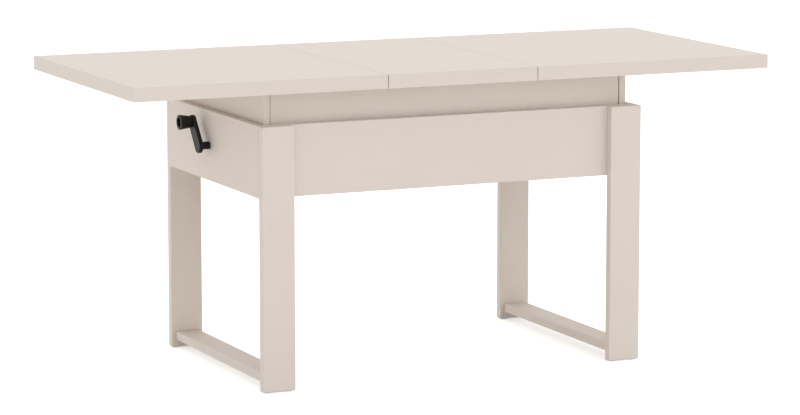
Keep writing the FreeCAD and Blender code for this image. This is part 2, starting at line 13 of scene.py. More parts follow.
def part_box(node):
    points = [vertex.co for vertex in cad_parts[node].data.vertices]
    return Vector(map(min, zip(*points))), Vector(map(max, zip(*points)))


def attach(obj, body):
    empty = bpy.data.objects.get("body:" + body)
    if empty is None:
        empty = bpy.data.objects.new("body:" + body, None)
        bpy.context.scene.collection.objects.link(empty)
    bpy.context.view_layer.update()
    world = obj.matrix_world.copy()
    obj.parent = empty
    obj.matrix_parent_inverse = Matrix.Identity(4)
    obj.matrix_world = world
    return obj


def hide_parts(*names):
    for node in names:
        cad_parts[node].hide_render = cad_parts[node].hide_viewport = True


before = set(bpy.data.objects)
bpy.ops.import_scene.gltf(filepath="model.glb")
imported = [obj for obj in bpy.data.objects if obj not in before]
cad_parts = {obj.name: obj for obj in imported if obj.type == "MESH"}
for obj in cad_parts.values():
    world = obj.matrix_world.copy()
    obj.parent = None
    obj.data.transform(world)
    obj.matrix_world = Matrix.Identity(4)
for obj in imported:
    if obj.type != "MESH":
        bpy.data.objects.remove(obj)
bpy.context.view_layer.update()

bl_info = {
    "name": "Crank lift table",
    "version": (1, 0, 0),
    "blender": (4, 5, 0),
    "location": "View3D > Sidebar > Table",
    "description": "Dresses the packed table with its finishes, screws, thread and stage",
    "category": "Object",
}

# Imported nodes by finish
TOP_BOARDS = ("left_top", "right_top", "extension_leaf")
BASE_BOARDS = ("leg_front_left", "leg_front_right", "leg_rear_left", "leg_rear_right", "left_foot_rail",
               "right_foot_rail", "front_apron", "rear_apron", "crank_end_apron", "plain_end_apron")
BOX_BOARDS = ("front_lift_panel", "rear_lift_panel", "crank_lift_panel", "plain_lift_panel")
CROSS_TIMBERS = ("crank_end_beam", "spindle_beam", "pivot_beam", "crank_end_cross_rail", "middle_cross_rail",
                 "pivot_cross_rail", "base_dowels")
LONG_TIMBERS = ("leaf_cleats",)
CROSS_SHAFTS = ("lower_pivot_shaft", "upper_pivot_shaft", "drive_tube")
SMALL_STEEL = ("corner_brackets",)
CHANNELS = ("front_lower_channel", "rear_lower_channel", "front_upper_channel", "rear_upper_channel")
COATED_PARTS = ("front_outer_arm", "rear_outer_arm", "front_inner_arm", "rear_inner_arm", "thrust_bearing",
                "end_bearing", "lift_nut")
RUNNERS = ("front_runner_rail", "rear_runner_rail", "left_sliders", "right_sliders")
MOULDINGS = ("crank_arm", "crank_grip")
NYLON_PARTS = ("leg_glides", "guide_pads", "crank_bush", "outer_arm_rollers", "inner_arm_rollers")

# Modelled fittings: the body that each rides on, and the axis of a bolt or the channel that a cap sits on
SCREW_GROUPS = {"leg_screws": "base_frame", "base_screws": "base_frame", "lift_screws": "lift_frame",
                "left_top_screws": "left_half", "right_top_screws": "right_half"}
SHOULDER_BOLTS = {"grip_pin": ("crank", 0), "centre_pivot_pins": ("outer_arms", 1)}
CAPPED_SHAFTS = {"lower_pivot_shaft": ("base_frame", "lower_channel"),
                 "upper_pivot_shaft": ("lift_frame", "upper_channel")}

# Directions, patterns and colours used in several places
UP = Vector((0.0, 0.0, 1.0))
FRONT = Vector((0.0, -1.0, 0.0))
REAR = Vector((0.0, 1.0, 0.0))
RIGHT = Vector((1.0, 0.0, 0.0))
NO_STRETCH = (1.0, 1.0, 1.0)
NO_TURN = (0.0, 0.0, 0.0)
QUARTER_TURN = (0.0, 0.0, -math.pi / 2)
WHITE = (1.0, 1.0, 1.0, 1.0)

# Colour sockets of the Mix node, which share their names with its number and vector sockets
MIX_SHARE = 0
MIX_FIRST = 6
MIX_SECOND = 7
MIX_RESULT = 2

# Meshes of the modelled fittings
BAR_SIDES = 40
SCREW_SIDES = 24
SOCKET_SIDES = 6
CAP_SIDES = 32
THREAD_STEPS = 32
ROUNDING_STEPS = 4
CHAMFER_STEPS = 2
WELD_DISTANCE = 0.00001
SMOOTH_ANGLE = math.radians(35)

# Limits for picking faces by their normal and for telling a screw's head from its shank
FACING = 0.9
HEAD_RIM = 0.45
PAST_HEAD = 1.5
LENGTH_DIGITS = 5

# Shapes of the modelled fittings, as angles and shares of their sizes
THREAD_FLANK = math.radians(15)
THREAD_LAND = 0.32
HEAD_ROUNDING = 0.45
SOCKET_CUT = 1.4
TIP_TAPER = 2.5
SCREW_TIP = 0.2
BOLT_TIP = 0.85
CAP_BRIM = 0.24
CAP_ROUNDING = 0.16


# Settings
def colour_setting(label, text, default):
    """Colour property in scene-linear values."""
    return bpy.props.FloatVectorProperty(name=label, description=text, default=default, size=4, min=0.0,
                                         max=1.0, subtype="COLOR")


def length_setting(label, text, default):
    """Length property in metres."""
    return bpy.props.FloatProperty(name=label, description=text, default=default, min=0.0, precision=5,
                                   unit="LENGTH")


def number_setting(label, text, default, subtype="NONE"):
    """Number property that isn't negative."""
    return bpy.props.FloatProperty(name=label, description=text, default=default, min=0.0, subtype=subtype)


def angle_setting(label, text, degrees):
    """Angle property, with its default in degrees."""
    return bpy.props.FloatProperty(name=label, description=text, default=math.radians(degrees),
                                   subtype="ANGLE")


def place_setting(label, text, default):
    """Point property in metres."""
    return bpy.props.FloatVectorProperty(name=label, description=text, default=default, subtype="TRANSLATION")


class TableFinishes(bpy.types.PropertyGroup):
    """Colours of the table's finishes."""

    laminate: colour_setting("Laminate", "Matt laminate on every visible board", (0.72, 0.648, 0.588, 1.0))
    glue_line: colour_setting("Glue line", "Seam between a board's face and its edge band",
                              (0.40, 0.34, 0.28, 1.0))
    early_wood: colour_setting("Early wood", "Pale growth of the hidden timbers", (0.62, 0.44, 0.26, 1.0))
    late_wood: colour_setting("Late wood", "Darker growth of the hidden timbers", (0.42, 0.26, 0.13, 1.0))
    zinc: colour_setting("Zinc plate", "Plating on screws, shafts and brackets", (0.60, 0.61, 0.63, 1.0))
    coat: colour_setting("Powder coat", "Coating on the scissor and its channels", (0.022, 0.022, 0.024, 1.0))
    bare_steel: colour_setting("Bare steel", "Where rollers polish the channels", (0.42, 0.42, 0.43, 1.0))
    aluminium: colour_setting("Aluminium", "Extruded runners under the top", (0.66, 0.67, 0.69, 1.0))
    plastic: colour_setting("Plastic", "Moulded crank and grip", (0.008, 0.008, 0.0078, 1.0))
    nylon: colour_setting("Nylon", "Glides, pads, rollers and bush", (0.74, 0.72, 0.66, 1.0))


class TableFittings(bpy.types.PropertyGroup):
    """Sizes of the fittings that are modelled here."""

    spindle_radius: length_setting("Spindle radius", "Journals and crest of the thread", 0.006)
    spindle_chamfer: length_setting("Spindle chamfer", "Chamfer at the spindle's ends", 0.0006)
    thread_lead: length_setting("Thread lead", "Travel of the nut in one turn", 0.004)
    thread_root: length_setting("Thread root", "Radius at the bottom of the thread", 0.0043)
    thread_start_gap: length_setting("Thread start", "Plain shank between collar and thread", 0.006)
    thread_end_gap: length_setting("Thread end", "Plain journal left at the far bearing", 0.034)
    collar_radius: length_setting("Collar radius", "Collars on both sides of the thrust bearing", 0.010)
    collar_width: length_setting("Collar width", "Width of one collar", 0.005)
    collar_chamfer: length_setting("Collar chamfer", "Chamfer on a collar's rims", 0.0005)
    collar_play: length_setting("Collar play", "Gap between a collar and the bearing", 0.0002)
    socket_share: number_setting("Socket share", "Hex socket across its corners, as a share of the head",
                                 0.56, "FACTOR")
    cap_radius: length_setting("Cap radius", "Push-on caps at the shafts' ends", 0.0098)
    cap_wall: length_setting("Cap wall", "Thickness of a push-on cap's brim", 0.0009)
    cap_dome: length_setting("Cap dome", "How far a cap's dome stands above its brim", 0.0027)


class TableStage(bpy.types.PropertyGroup):
    """Camera, surround, lamp and floor."""

    camera_place: place_setting("Camera", "Place of the camera", (-3.2694, -7.2095, 1.5944))
    camera_yaw: angle_setting("Yaw", "Turn of the view away from +Y", 24.368)
    camera_pitch: angle_setting("Pitch", "How far the view looks down", 8.949)
    camera_lens: number_setting("Lens", "Focal length in millimetres", 153.356)
    camera_sensor: number_setting("Sensor", "Width of the sensor in millimetres", 36.0)
    sky_even: number_setting("Even sky", "Light from all round", 0.45)
    sky_rear: number_setting("Rear sky", "Light added behind the table", 1.32)
    sky_front: number_setting("Front sky", "Light added in front of the table", 0.72)
    sky_right: number_setting("Right sky", "Light added on the plain end's side", 0.48)
    sky_tint: colour_setting("Rear sky tint", "Slightly warm light from behind", (1.0, 0.98, 0.91, 1.0))
    floor: colour_setting("Floor", "Pale studio floor", (0.97, 0.97, 0.97, 1.0))
    floor_size: number_setting("Floor size", "Side of the floor in metres", 60.0)
    floor_lift: number_setting("Floor lift", "How far the camera sees the floor brightened to white", 0.45)
    lamp_power: number_setting("Lamp power", "Power of the overhead panel", 6.0, "POWER")
    lamp_size: number_setting("Lamp size", "Side of the overhead panel in metres", 3.0)
    lamp_place: place_setting("Lamp", "Place of the overhead panel", (0.3, -0.6, 3.6))
    lamp_target: place_setting("Lamp target", "Point that the overhead panel faces", (0.0, 0.0, 0.6))


def finishes():
    """Finish settings of this scene."""
    return bpy.context.scene.table_finishes


def fittings():
    """Fitting settings of this scene."""
    return bpy.context.scene.table_fittings


# Shader nodes
def connect(tree, socket, value):
    """Link another node's output to a socket, or set the socket's own value."""
    if isinstance(value, bpy.types.NodeSocket):
        tree.links.new(value, socket)
    else:
        socket.default_value = value


def connect_all(tree, node, *values):
    """Link or set a node's inputs in their order."""
    for socket, value in zip(node.inputs, values):
        connect(tree, socket, value)


def calc(tree, operation, *values):
    """Math node, as its result."""
    node = tree.nodes.new("ShaderNodeMath")
    node.operation = operation
    connect_all(tree, node, *values)
    return node.outputs["Value"]


def fold(tree, operation, values):
    """Math nodes that take up one value after another, such as for the largest of three."""
    return functools.reduce(lambda so_far, value: calc(tree, operation, so_far, value), values)


def vector_calc(tree, operation, *values):
    """Vector Math node, as its result."""
    node = tree.nodes.new("ShaderNodeVectorMath")
    node.operation = operation
    connect_all(tree, node, *values)
    return node.outputs["Value" if operation == "DOT_PRODUCT" else "Vector"]


def parts_of(tree, vector):
    """X, Y and Z of a vector."""
    node = tree.nodes.new("ShaderNodeSeparateXYZ")
    tree.links.new(vector, node.inputs["Vector"])
    return node.outputs


def step_between(tree, value, low, high):
    """Smooth step from 0 to 1 as a value goes from low to high."""
    node = tree.nodes.new("ShaderNodeMapRange")
    node.interpolation_type = "SMOOTHSTEP"
    connect(tree, node.inputs["Value"], value)
    connect(tree, node.inputs["From Min"], low)
    connect(tree, node.inputs["From Max"], high)
    return node.outputs["Result"]


def spread(tree, value, start, end):
    """Carry a 0 to 1 value over to a range."""
    node = tree.nodes.new("ShaderNodeMapRange")
    connect(tree, node.inputs["Value"], value)
    connect(tree, node.inputs["To Min"], start)
    connect(tree, node.inputs["To Max"], end)
    return node.outputs["Result"]


def noise(tree, place, scale, detail):
    """Noise texture, as its 0 to 1 value."""
    node = tree.nodes.new("ShaderNodeTexNoise")
    connect(tree, node.inputs["Vector"], place)
    connect(tree, node.inputs["Scale"], scale)
    node.inputs["Detail"].default_value = detail
    return node.outputs["Fac"]


def mix_colour(tree, share, first, second):
    """Mix of two colours by a mask."""
    node = tree.nodes.new("ShaderNodeMix")
    node.data_type = "RGBA"
    connect(tree, node.inputs[MIX_SHARE], share)
    connect(tree, node.inputs[MIX_FIRST], first)
    connect(tree, node.inputs[MIX_SECOND], second)
    return node.outputs[MIX_RESULT]


def stretched_place(tree, scale, turn=NO_TURN):
    """Object coordinates through a Mapping node that stretches or turns a pattern."""
    place = tree.nodes.new("ShaderNodeTexCoord")
    mapping = tree.nodes.new("ShaderNodeMapping")
    mapping.inputs["Scale"].default_value = scale
    mapping.inputs["Rotation"].default_value = turn
    tree.links.new(place.outputs["Object"], mapping.inputs["Vector"])
    return mapping.outputs["Vector"]


def bump(tree, shader, height, distance, strength):
    """Feed a height into the shader's normal."""
    node = tree.nodes.new("ShaderNodeBump")
    node.inputs["Distance"].default_value = distance
    node.inputs["Strength"].default_value = strength
    connect(tree, node.inputs["Height"], height)
    tree.links.new(node.outputs["Normal"], shader.inputs["Normal"])


# Node groups
def new_group(name, inputs, outputs):
    """Empty shader node group with its sockets; gives the tree, its input node and its output node."""
    tree = bpy.data.node_groups.new(name, "ShaderNodeTree")
    for label, kind, default in inputs:
        socket = tree.interface.new_socket(name=label, in_out="INPUT", socket_type=kind)
        socket.default_value = default
    for label in outputs:
        tree.interface.new_socket(name=label, in_out="OUTPUT", socket_type="NodeSocketFloat")
    return tree, tree.nodes.new("NodeGroupInput"), tree.nodes.new("NodeGroupOutput")


def place_group(tree, group, **values):
    """Group node in a material, with its inputs set; an underscore stands for a space."""
    node = tree.nodes.new("ShaderNodeGroup")
    node.node_tree = group
    for name, value in values.items():
        connect(tree, node.inputs[name.replace("_", " ")], value)
    return node


def built_once(build):
    """Let a function build its node group on the first call and give the same group afterwards."""
    name = build.__name__.replace("_", " ").capitalize()

    @functools.wraps(build)
    def group():
        if name not in bpy.data.node_groups:
            build(name)
        return bpy.data.node_groups[name]

    return group


@built_once
def fine_emboss(name):
    """Pressed texture of laminate, coating and mouldings, with broad soft clouds of tone."""
    ripple_share = 0.4
    ripple_coarseness = 0.22
    clouds_per_metre = 7.0
    tree, given, result = new_group(name, [("Cells per metre", "NodeSocketFloat", 900.0)],
                                    ["Height", "Cloud"])
    place = tree.nodes.new("ShaderNodeTexCoord").outputs["Object"]
    cells = given.outputs["Cells per metre"]
    pores = noise(tree, place, scale=cells, detail=3.0)
    ripple = noise(tree, place, scale=calc(tree, "MULTIPLY", cells, ripple_coarseness), detail=1.0)
    height = calc(tree, "ADD", calc(tree, "MULTIPLY", pores, 1.0 - ripple_share),
                  calc(tree, "MULTIPLY", ripple, ripple_share))
    tree.links.new(height, result.inputs["Height"])
    tree.links.new(noise(tree, place, scale=clouds_per_metre, detail=3.0), result.inputs["Cloud"])


@built_once
def edge_mask(name):
    """Mask of rounded edges on square pieces, broken up in patches; it places edge wear, and on laminate also
    a painted highlight.
    """
    tree, given, result = new_group(name, [("Break up per metre", "NodeSocketFloat", 60.0)], ["Mask"])
    place = tree.nodes.new("ShaderNodeTexCoord")
    widest = fold(tree, "MAXIMUM", parts_of(tree, vector_calc(tree, "ABSOLUTE", place.outputs["Normal"])))
    rounded = step_between(tree, calc(tree, "SUBTRACT", 1.0, widest), low=0.01, high=0.2)
    patches = noise(tree, place.outputs["Object"], scale=given.outputs["Break up per metre"], detail=3.0)
    broken = step_between(tree, patches, low=0.42, high=0.62)
    tree.links.new(calc(tree, "MULTIPLY", rounded, broken), result.inputs["Mask"])


@built_once
def edge_band(name):
    """Hairline on a board's wide faces where the edge band meets the face."""
    tree, given, result = new_group(name, [("Centre", "NodeSocketVector", (0.0, 0.0, 0.0)),
                                           ("Half size", "NodeSocketVector", (1.0, 1.0, 1.0)),
                                           ("Thin axis", "NodeSocketVector", (0.0, 0.0, 1.0)),
                                           ("Band", "NodeSocketFloat", 0.0011)], ["Line"])
    place = tree.nodes.new("ShaderNodeTexCoord")
    thin_axis = given.outputs["Thin axis"]
    away = vector_calc(tree, "ABSOLUTE", vector_calc(tree, "SUBTRACT", place.outputs["Object"],
                                                     given.outputs["Centre"]))
    inside = vector_calc(tree, "ADD", vector_calc(tree, "SUBTRACT", given.outputs["Half size"], away),
                         thin_axis)
    nearest = fold(tree, "MINIMUM", parts_of(tree, inside))
    off_line = calc(tree, "ABSOLUTE", calc(tree, "SUBTRACT", nearest, given.outputs["Band"]))
    hairline = calc(tree, "SUBTRACT", 1.0, step_between(tree, off_line, low=0.00006, high=0.0002))
    square_on = calc(tree, "ABSOLUTE", vector_calc(tree, "DOT_PRODUCT", place.outputs["Normal"], thin_axis))
    tree.links.new(calc(tree, "MULTIPLY", hairline, step_between(tree, square_on, low=0.9, high=0.99)),
                   result.inputs["Line"])


@built_once
def growth_rings(name):
    """Sawn timber: rings round a pith beside the board, with fine fibre along it."""
    pith_side = 0.11
    pith_depth = 0.07
    broad_wander = 0.09
    close_wander = 0.012
    tree, given, result = new_group(name, [("Place", "NodeSocketVector", (0.0, 0.0, 0.0)),
                                           ("Rings per metre", "NodeSocketFloat", 230.0)],
                                    ["Late", "Fibre", "Tone"])
    along = tree.nodes.new("ShaderNodeMapping")
    along.inputs["Scale"].default_value = (0.09, 1.0, 1.0)
    tree.links.new(given.outputs["Place"], along.inputs["Vector"])
    grain = along.outputs["Vector"]
    broad = noise(tree, grain, scale=9.0, detail=2.0)
    close = noise(tree, grain, scale=42.0, detail=2.0)
    wander = calc(tree, "ADD", calc(tree, "MULTIPLY", calc(tree, "SUBTRACT", broad, 0.5), broad_wander),
                  calc(tree, "MULTIPLY", calc(tree, "SUBTRACT", close, 0.5), close_wander))
    parts = parts_of(tree, grain)
    side = calc(tree, "ADD", parts["Y"], pith_side)
    depth = calc(tree, "ADD", parts["Z"], pith_depth)
    radius = calc(tree, "SQRT", calc(tree, "ADD", calc(tree, "MULTIPLY", side, side),
                                     calc(tree, "MULTIPLY", depth, depth)))
    years = calc(tree, "MULTIPLY", calc(tree, "ADD", radius, wander), given.outputs["Rings per metre"])
    season = calc(tree, "FRACT", years)
    year = tree.nodes.new("ShaderNodeTexWhiteNoise")
    year.noise_dimensions = "1D"
    tree.links.new(calc(tree, "FLOOR", years), year.inputs["W"])
    late = calc(tree, "MULTIPLY", step_between(tree, season, low=0.2, high=0.9),
                calc(tree, "SUBTRACT", 1.0, step_between(tree, season, low=0.9, high=1.0)))
    tree.links.new(calc(tree, "MULTIPLY", late, spread(tree, year.outputs["Value"], start=0.25, end=0.95)),
                   result.inputs["Late"])
    tree.links.new(step_between(tree, broad, low=0.3, high=0.7), result.inputs["Tone"])
    tree.links.new(noise(tree, grain, scale=900.0, detail=2.0), result.inputs["Fibre"])


@built_once
def drawn_lines(name):
    """Fine parallel lines of drawn, rolled or extruded metal; the place comes stretched along them."""
    smears_per_metre = 45.0
    tree, given, result = new_group(name, [("Place", "NodeSocketVector", (0.0, 0.0, 0.0)),
                                           ("Lines per metre", "NodeSocketFloat", 1500.0)], ["Line", "Smear"])
    place = given.outputs["Place"]
    tree.links.new(noise(tree, place, scale=given.outputs["Lines per metre"], detail=2.0),
                   result.inputs["Line"])
    tree.links.new(noise(tree, place, scale=smears_per_metre, detail=3.0), result.inputs["Smear"])


# Finishes
def new_material(name):
    """Material with a Principled shader; gives the material, its tree and the shader."""
    material = bpy.data.materials.new(name)
    material.use_nodes = True
    tree = material.node_tree
    return material, tree, tree.nodes["Principled BSDF"]


def toned(colour, share):
    """A colour with its red, green and blue scaled."""
    return (colour[0] * share, colour[1] * share, colour[2] * share, 1.0)


def laminate_board(node):
    """Matt laminate of one board, with its own edge band lines."""
    low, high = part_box(node)
    half = (high - low) / 2
    thin = min(range(3), key=lambda axis: half[axis])
    thin_axis = tuple(float(axis == thin) for axis in range(3))
    material, tree, shader = new_material("laminate_" + node)
    colour = finishes().laminate
    emboss = place_group(tree, fine_emboss(), Cells_per_metre=1400.0)
    edge_patches = place_group(tree, edge_mask(), Break_up_per_metre=45.0)
    band = place_group(tree, edge_band(), Centre=tuple((low + high) / 2), Half_size=tuple(half),
                       Thin_axis=thin_axis)
    tone = mix_colour(tree, emboss.outputs["Cloud"], toned(colour, 0.982), toned(colour, 1.018))
    pores = step_between(tree, emboss.outputs["Height"], low=0.36, high=0.46)
    speckled = mix_colour(tree, pores, toned(colour, 0.955), tone)
    # Rounded edges painted lighter: partly wear from handling, partly a painted highlight where the edges
    # catch the light.
    worn_and_highlit = mix_colour(tree, calc(tree, "MULTIPLY", edge_patches.outputs["Mask"], 0.22), speckled,
                          toned(colour, 1.09))
    lined = mix_colour(tree, calc(tree, "MULTIPLY", band.outputs["Line"], 0.5), worn_and_highlit,
                       tuple(finishes().glue_line))
    tree.links.new(lined, shader.inputs["Base Color"])
    rough = spread(tree, emboss.outputs["Cloud"], start=0.50, end=0.60)
    tree.links.new(calc(tree, "SUBTRACT", rough, calc(tree, "MULTIPLY", edge_patches.outputs["Mask"], 0.12)),
                   shader.inputs["Roughness"])
    shader.inputs["Specular IOR Level"].default_value = 0.35
    bump(tree, shader, emboss.outputs["Height"], distance=0.00008, strength=0.35)
    return material


def timber(name, turn):
    """Planed softwood, its grain turned to run along the piece."""
    material, tree, shader = new_material(name)
    early = finishes().early_wood
    rings = place_group(tree, growth_rings(), Place=stretched_place(tree, NO_STRETCH, turn))
    pale = mix_colour(tree, rings.outputs["Tone"], toned(early, 0.9), toned(early, 1.08))
    wood = mix_colour(tree, rings.outputs["Late"], pale, tuple(finishes().late_wood))
    fibre = step_between(tree, rings.outputs["Fibre"], low=0.3, high=0.7)
    tree.links.new(mix_colour(tree, calc(tree, "MULTIPLY", fibre, 0.25), wood, toned(early, 1.12)),
                   shader.inputs["Base Color"])
    tree.links.new(spread(tree, rings.outputs["Late"], start=0.72, end=0.58), shader.inputs["Roughness"])
    shader.inputs["Specular IOR Level"].default_value = 0.3
    bump(tree, shader, rings.outputs["Fibre"], distance=0.00015, strength=0.4)
    return material


def plated_steel(name, stretch=NO_STRETCH):
    """Bright zinc plate with fine lines along the piece and a faint bluish bloom."""
    material, tree, shader = new_material(name)
    lines = place_group(tree, drawn_lines(), Place=stretched_place(tree, stretch), Lines_per_metre=1800.0)
    emboss = place_group(tree, fine_emboss(), Cells_per_metre=320.0)
    zinc = finishes().zinc
    bloom = (zinc[0] * 0.9, zinc[1] * 0.97, zinc[2] * 1.05, 1.0)
    tree.links.new(mix_colour(tree, emboss.outputs["Cloud"], tuple(zinc), bloom), shader.inputs["Base Color"])
    shader.inputs["Metallic"].default_value = 1.0
    dull = calc(tree, "MULTIPLY", lines.outputs["Line"], emboss.outputs["Height"])
    tree.links.new(spread(tree, dull, start=0.24, end=0.62), shader.inputs["Roughness"])
    bump(tree, shader, lines.outputs["Line"], distance=0.00003, strength=0.35)
    return material


def powder_coat(name, rolled):
    """Black powder coat with its orange peel; rolled channels are polished bare where wheels run."""
    material, tree, shader = new_material(name)
    coat = finishes().coat
    emboss = place_group(tree, fine_emboss(), Cells_per_metre=620.0)
    edge_patches = place_group(tree, edge_mask(), Break_up_per_metre=120.0)
    tone = mix_colour(tree, emboss.outputs["Cloud"], toned(coat, 0.8), toned(coat, 1.35))
    bare = calc(tree, "MULTIPLY", edge_patches.outputs["Mask"], 0.5)
    if rolled:
        lines = place_group(tree, drawn_lines(), Place=stretched_place(tree, (0.02, 1.0, 1.0)),
                            Lines_per_metre=700.0)
        upright = parts_of(tree, tree.nodes.new("ShaderNodeTexCoord").outputs["Normal"])["Z"]
        flat = step_between(tree, calc(tree, "ABSOLUTE", upright), low=0.9, high=0.99)
        scraped = step_between(tree, lines.outputs["Smear"], low=0.46, high=0.62)
        track = calc(tree, "MULTIPLY", flat, calc(tree, "MULTIPLY", scraped, 0.55))
        bare = calc(tree, "MAXIMUM", bare, track)
    tree.links.new(mix_colour(tree, bare, tone, tuple(finishes().bare_steel)), shader.inputs["Base Color"])
    tree.links.new(calc(tree, "MULTIPLY", bare, 0.9), shader.inputs["Metallic"])
    tree.links.new(spread(tree, emboss.outputs["Cloud"], start=0.40, end=0.52), shader.inputs["Roughness"])
    bump(tree, shader, emboss.outputs["Height"], distance=0.0002, strength=0.3)
    return material


def extruded_aluminium(name):
    """Mill finish with die lines along the runner."""
    material, tree, shader = new_material(name)
    metal = finishes().aluminium
    lines = place_group(tree, drawn_lines(), Place=stretched_place(tree, (0.01, 1.0, 1.0)),
                        Lines_per_metre=1400.0)
    tree.links.new(mix_colour(tree, lines.outputs["Line"], toned(metal, 0.82), toned(metal, 1.08)),
                   shader.inputs["Base Color"])
    shader.inputs["Metallic"].default_value = 1.0
    tree.links.new(spread(tree, lines.outputs["Smear"], start=0.28, end=0.48), shader.inputs["Roughness"])
    bump(tree, shader, lines.outputs["Line"], distance=0.00005, strength=0.4)
    return material


def moulded_plastic(name):
    """Satin black moulding with a spark-eroded texture and rubbed edges."""
    material, tree, shader = new_material(name)
    black = finishes().plastic
    emboss = place_group(tree, fine_emboss(), Cells_per_metre=1900.0)
    edge_patches = place_group(tree, edge_mask(), Break_up_per_metre=160.0)
    tone = mix_colour(tree, emboss.outputs["Height"], toned(black, 0.7), toned(black, 1.5))
    rubbed = calc(tree, "MULTIPLY", edge_patches.outputs["Mask"], 0.35)
    tree.links.new(mix_colour(tree, rubbed, tone, toned(black, 3.2)), shader.inputs["Base Color"])
    tree.links.new(spread(tree, emboss.outputs["Cloud"], start=0.44, end=0.56), shader.inputs["Roughness"])
    shader.inputs["Specular IOR Level"].default_value = 0.21
    bump(tree, shader, emboss.outputs["Height"], distance=0.0001, strength=0.4)
    return material


def natural_nylon(name):
    """Milky nylon with a faint flow pattern and scuffs."""
    material, tree, shader = new_material(name)
    milky = finishes().nylon
    emboss = place_group(tree, fine_emboss(), Cells_per_metre=700.0)
    flow = noise(tree, stretched_place(tree, (90.0, 90.0, 25.0)), scale=1.0, detail=3.0)
    scuffed = calc(tree, "MULTIPLY", step_between(tree, flow, low=0.52, high=0.7), 0.4)
    tree.links.new(mix_colour(tree, scuffed, tuple(milky), toned(milky, 0.72)), shader.inputs["Base Color"])
    tree.links.new(spread(tree, emboss.outputs["Height"], start=0.34, end=0.56), shader.inputs["Roughness"])
    shader.inputs["Subsurface Weight"].default_value = 0.15
    shader.inputs["Subsurface Radius"].default_value = (0.004, 0.0035, 0.003)
    shader.inputs["Subsurface Scale"].default_value = 0.5
    bump(tree, shader, emboss.outputs["Height"], distance=0.00006, strength=0.3)
    return material


def dress(nodes, material):
    """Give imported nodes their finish."""
    for node in nodes:
        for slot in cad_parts[node].material_slots:
            slot.material = material


# Modelling
def deselect():
    """Leave nothing selected, so that an operator reaches only the next piece."""
    bpy.ops.object.select_all(action="DESELECT")


def pick_faces(test):
    """In edit mode, select only the faces that pass a test."""
    bpy.ops.mesh.select_all(action="DESELECT")
    mesh = bmesh.from_edit_mesh(bpy.context.object.data)
    for face in mesh.faces:
        if test(face):
            face.select_set(True)
    bmesh.update_edit_mesh(bpy.context.object.data)


def extrude(x, z):
    """In edit mode, draw what is selected out along X and Z."""
    bpy.ops.mesh.extrude_region_move(TRANSFORM_OT_translate={"value": (x, 0.0, z)})


def settle(piece, name):
    """Put a modelled piece's place into its mesh and smooth its round faces."""
    piece.name = name
    piece.data.name = name
    deselect()
    piece.select_set(True)
    bpy.context.view_layer.objects.active = piece
    bpy.ops.object.transform_apply(location=True, rotation=True, scale=True)
    bpy.ops.object.shade_smooth_by_angle(angle=SMOOTH_ANGLE)
    return piece


def join_pieces(pieces, name):
    """Join modelled pieces into one."""
    deselect()
    for piece in pieces:
        piece.select_set(True)
    bpy.context.view_layer.objects.active = pieces[0]
    if len(pieces) > 1:
        bpy.ops.object.join()
    return settle(bpy.context.object, name)


def finish_piece(piece, body, material, *nodes):
    """Give a modelled fitting its finish, its body and the nodes that it stands for."""
    piece.data.materials.clear()
    piece.data.materials.append(material)
    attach(piece, body)
    if nodes:
        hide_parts(*nodes)


def turned_bar(start_x, end_x, axis, radius, chamfer):
    """Round bar along X with chamfered ends."""
    deselect()
    bpy.ops.mesh.primitive_cylinder_add(vertices=BAR_SIDES, radius=radius, depth=end_x - start_x,
                                        location=((start_x + end_x) / 2, axis.y, axis.z),
                                        rotation=(0.0, math.pi / 2, 0.0))
    bpy.ops.object.mode_set(mode="EDIT")
    pick_faces(lambda face: len(face.verts) == BAR_SIDES)
    bpy.ops.mesh.bevel(offset=chamfer, segments=CHAMFER_STEPS, affect="EDGES")
    bpy.ops.object.mode_set(mode="OBJECT")
    return settle(bpy.context.object, "bar")


def screw_thread(start_x, turns, axis, root, crest, lead):
    """Trapezoidal thread along X: one tooth is drawn by extrusion, then wound and closed at both ends."""
    deselect()
    bpy.ops.mesh.primitive_plane_add(size=lead, location=(start_x, axis.y, axis.z))
    bpy.ops.object.mode_set(mode="EDIT")
    bpy.ops.mesh.select_all(action="SELECT")
    bpy.ops.mesh.merge(type="CENTER")
    bpy.ops.transform.translate(value=(0.0, 0.0, root))
    tooth = crest - root
    flank = tooth * math.tan(THREAD_FLANK)
    land = lead * THREAD_LAND
    for x, z in ((lead - land - 2 * flank, 0.0), (flank, tooth), (land, 0.0), (flank, -tooth)):
        extrude(x, z)
    bpy.ops.object.mode_set(mode="OBJECT")
    thread = bpy.context.object
    winding = thread.modifiers.new("winding", "SCREW")
    winding.axis = "X"
    winding.screw_offset = lead
    winding.iterations = turns
    winding.steps = THREAD_STEPS
    winding.render_steps = THREAD_STEPS
    winding.use_merge_vertices = True
    winding.merge_threshold = WELD_DISTANCE
    bpy.ops.object.modifier_apply(modifier=winding.name)
    bpy.ops.object.mode_set(mode="EDIT")
    bpy.ops.mesh.select_all(action="SELECT")
    bpy.ops.mesh.remove_doubles(threshold=WELD_DISTANCE)
    bpy.ops.mesh.fill_holes(sides=0)
    bpy.ops.mesh.select_all(action="SELECT")
    bpy.ops.mesh.normals_make_consistent(inside=False)
    bpy.ops.object.mode_set(mode="OBJECT")
    return settle(thread, "thread")


def screw_places(node, along=None):
    """Places and sizes of a group's screws, read from its mesh; along is their axis where it is known."""
    mesh = bmesh.new()
    mesh.from_mesh(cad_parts[node].data)
    bmesh.ops.remove_doubles(mesh, verts=mesh.verts[:], dist=WELD_DISTANCE)
    waiting = set(mesh.verts)
    places = []
    while waiting:
        island = []
        reached = [waiting.pop()]
        while reached:
            vert = reached.pop()
            island.append(vert.co.copy())
            for edge in vert.link_edges:
                other = edge.other_vert(vert)
                if other in waiting:
                    waiting.remove(other)
                    reached.append(other)
        places.append(screw_sizes(island, along))
    mesh.free()
    return places


